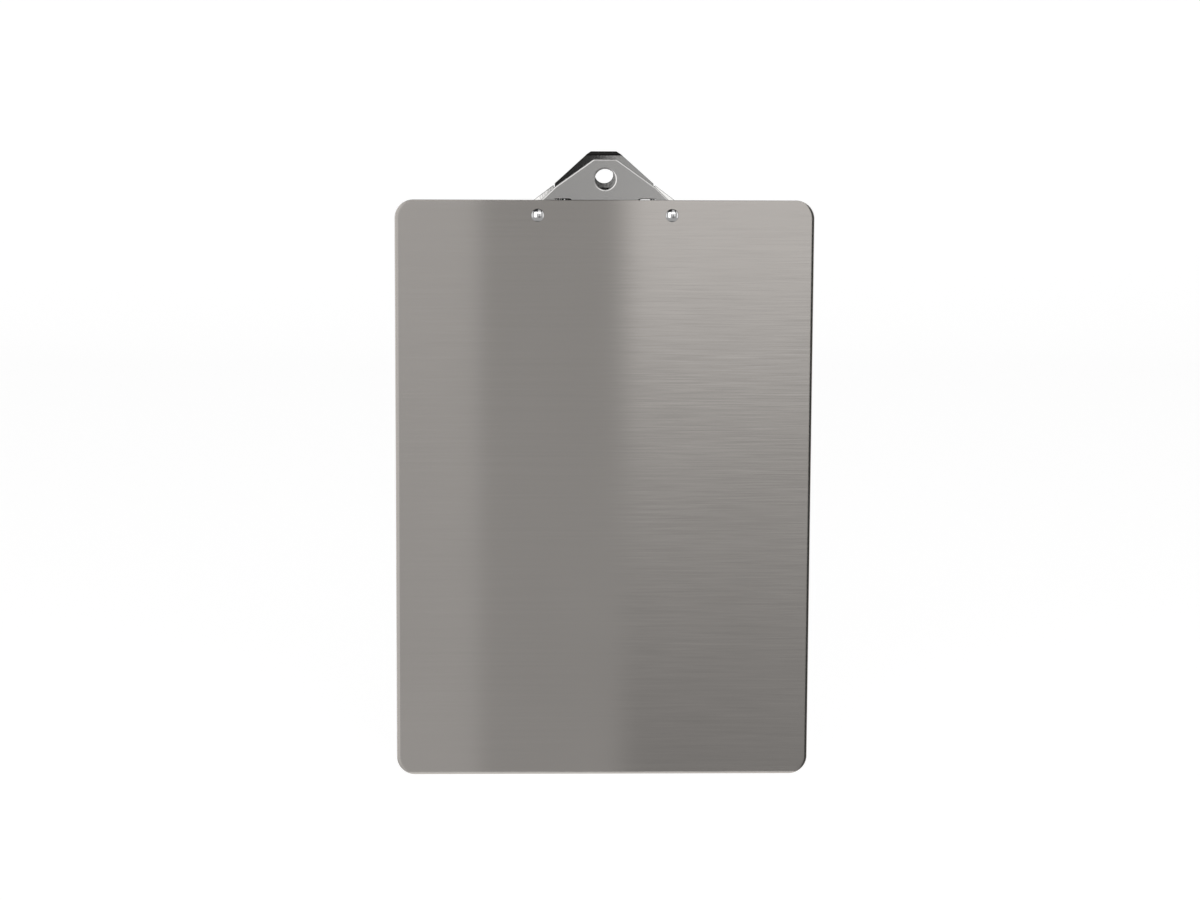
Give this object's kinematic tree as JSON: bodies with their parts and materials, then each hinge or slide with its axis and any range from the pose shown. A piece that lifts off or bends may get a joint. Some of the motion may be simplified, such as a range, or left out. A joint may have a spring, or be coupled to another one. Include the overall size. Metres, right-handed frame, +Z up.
{
  "type": "clipboard",
  "caption": "Flat brushed steel clipboard with a riveted spring lever clip at its top edge and a hang hole in the clip's base plate.",
  "frame": {"origin": "middle of the hang hole in the clip's base plate, in the plane where the base plate lies on the board's front", "axes": "+X across the board, to the right as the bare back is seen; +Y from the bare back to the front, where the clip is; +Z up the board to the clip"},
  "size_m": [0.225, 0.0295, 0.3397],
  "materials": {
    "board_steel": "stainless steel, fine horizontal brushing",
    "clip_steel": "satin nickel-plated pressed steel with bright rolled edges",
    "pin_steel": "smooth steel wire, peened ends",
    "spring_steel": "dark drawn spring wire",
    "rivet_steel": "polished domed rivet"
  },
  "bodies": {
    "board": {"board_panel": "board_steel", "clip_base": "clip_steel", "hinge_pin": "pin_steel", "torsion_spring": "spring_steel", "rivet_left": "rivet_steel", "rivet_right": "rivet_steel"},
    "lever": {"lever": "clip_steel"}
  },
  "joints": [
    {"name": "lever_hinge", "type": "hinge", "parent": "board", "child": "lever", "pos_m": [0, 0.0075, -0.014], "axis": [1, 0, 0], "range_deg": [0, 42], "stiffness_Nm_per_rad": 0.6, "springref_deg": -24.06, "deforming": ["torsion_spring"]}
  ]
}
